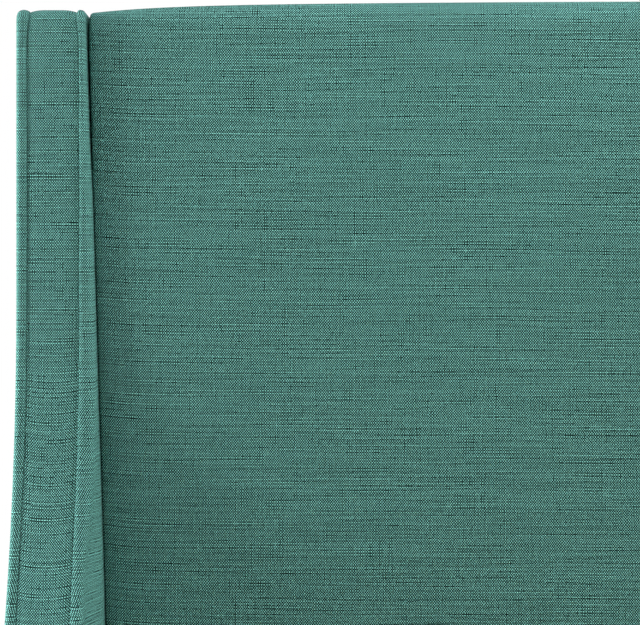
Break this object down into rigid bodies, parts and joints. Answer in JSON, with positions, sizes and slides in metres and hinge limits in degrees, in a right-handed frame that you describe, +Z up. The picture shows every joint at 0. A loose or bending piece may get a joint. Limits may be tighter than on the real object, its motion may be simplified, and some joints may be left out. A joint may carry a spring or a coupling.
{
  "type": "upholstered headboard bed",
  "caption": "Upholstered bed frame with a plain padded headboard between swept padded wings, padded rails and a slatted base on a centre beam with screw levelling glides.",
  "frame": {"origin": "on the floor under the middle of the bed's overall length and width", "axes": "+Z up, +Y towards the headboard, +X to the right of someone who looks at the headboard from the foot"},
  "size_m": [1.7, 2.2106, 1.422],
  "materials": {
    "linen": "matte",
    "foam": "matte",
    "backing_cloth": "matte",
    "webbing": "matte",
    "pine": "matte",
    "plywood": "matte",
    "dark_wood": "satin",
    "zinc_steel": "satin",
    "black_steel": "matte",
    "black_plastic": "matte"
  },
  "bodies": {
    "bed_frame": {"beam_hangers": "black_steel", "centre_beam": "pine", "centre_legs": "pine", "feet": "dark_wood", "foot_bolts": "zinc_steel", "foot_rail_board": "pine", "foot_rail_cover": "linen", "foot_rail_pad": "foam", "headboard_back_cover": "backing_cloth", "headboard_backing_board": "plywood", "headboard_bottom_rail": "pine", "headboard_cover": "linen", "headboard_middle_rail": "pine", "headboard_pad": "foam", "headboard_top_rail": "pine", "hook_plates": "black_steel", "ledger_brackets": "black_steel", "left_headboard_stile": "pine", "left_side_rail_board": "pine", "left_side_rail_cover": "linen", "left_side_rail_pad": "foam", "left_wing_core": "plywood", "left_wing_front_band": "linen", "left_wing_inner_cover": "linen", "left_wing_inner_pad": "foam", "left_wing_inner_roll": "foam", "left_wing_outer_cover": "linen", "left_wing_outer_pad": "foam", "left_wing_outer_roll": "foam", "leg_bolts": "zinc_steel", "leg_t_nuts": "zinc_steel", "nail_glides": "black_plastic", "right_headboard_stile": "pine", "right_side_rail_board": "pine", "right_side_rail_cover": "linen", "right_side_rail_pad": "foam", "right_wing_core": "plywood", "right_wing_front_band": "linen", "right_wing_inner_cover": "linen", "right_wing_inner_pad": "foam", "right_wing_inner_roll": "foam", "right_wing_outer_cover": "linen", "right_wing_outer_pad": "foam", "right_wing_outer_roll": "foam", "slat_ledgers": "pine", "slat_straps": "webbing", "slats": "pine", "slot_plates": "black_steel", "wing_bolts": "zinc_steel", "wing_front_pads": "foam", "wing_posts": "pine", "wing_t_nuts": "zinc_steel", "wing_washers": "zinc_steel", "wood_screws": "zinc_steel"},
    "glide_base_1": {"glide_pad_1": "black_plastic"},
    "glide_screw_1": {"glide_stud_1": "zinc_steel"},
    "glide_base_2": {"glide_pad_2": "black_plastic"},
    "glide_screw_2": {"glide_stud_2": "zinc_steel"},
    "glide_base_3": {"glide_pad_3": "black_plastic"},
    "glide_screw_3": {"glide_stud_3": "zinc_steel"}
  },
  "joints": [
    {"name": "glide_1_height", "type": "slide", "parent": "bed_frame", "child": "glide_base_1", "axis": [0, 0, 1], "range_m": [-0.012, 0.01]},
    {"name": "glide_1_turn", "type": "hinge", "parent": "glide_base_1", "child": "glide_screw_1", "pos_m": [0, -0.53425, 0.01], "axis": [0, 0, 1], "range_deg": [-3460, 2885]},
    {"name": "glide_2_height", "type": "slide", "parent": "bed_frame", "child": "glide_base_2", "axis": [0, 0, 1], "range_m": [-0.012, 0.01]},
    {"name": "glide_2_turn", "type": "hinge", "parent": "glide_base_2", "child": "glide_screw_2", "pos_m": [0, -0.02225, 0.01], "axis": [0, 0, 1], "range_deg": [-3460, 2885]},
    {"name": "glide_3_height", "type": "slide", "parent": "bed_frame", "child": "glide_base_3", "axis": [0, 0, 1], "range_m": [-0.012, 0.01]},
    {"name": "glide_3_turn", "type": "hinge", "parent": "glide_base_3", "child": "glide_screw_3", "pos_m": [0, 0.48975, 0.01], "axis": [0, 0, 1], "range_deg": [-3460, 2885]}
  ],
  "couplings": [
    {"joint": "glide_1_turn", "follows": "glide_1_height", "rad_per_m": 5026.5},
    {"joint": "glide_2_turn", "follows": "glide_2_height", "rad_per_m": 5026.5},
    {"joint": "glide_3_turn", "follows": "glide_3_height", "rad_per_m": 5026.5}
  ]
}
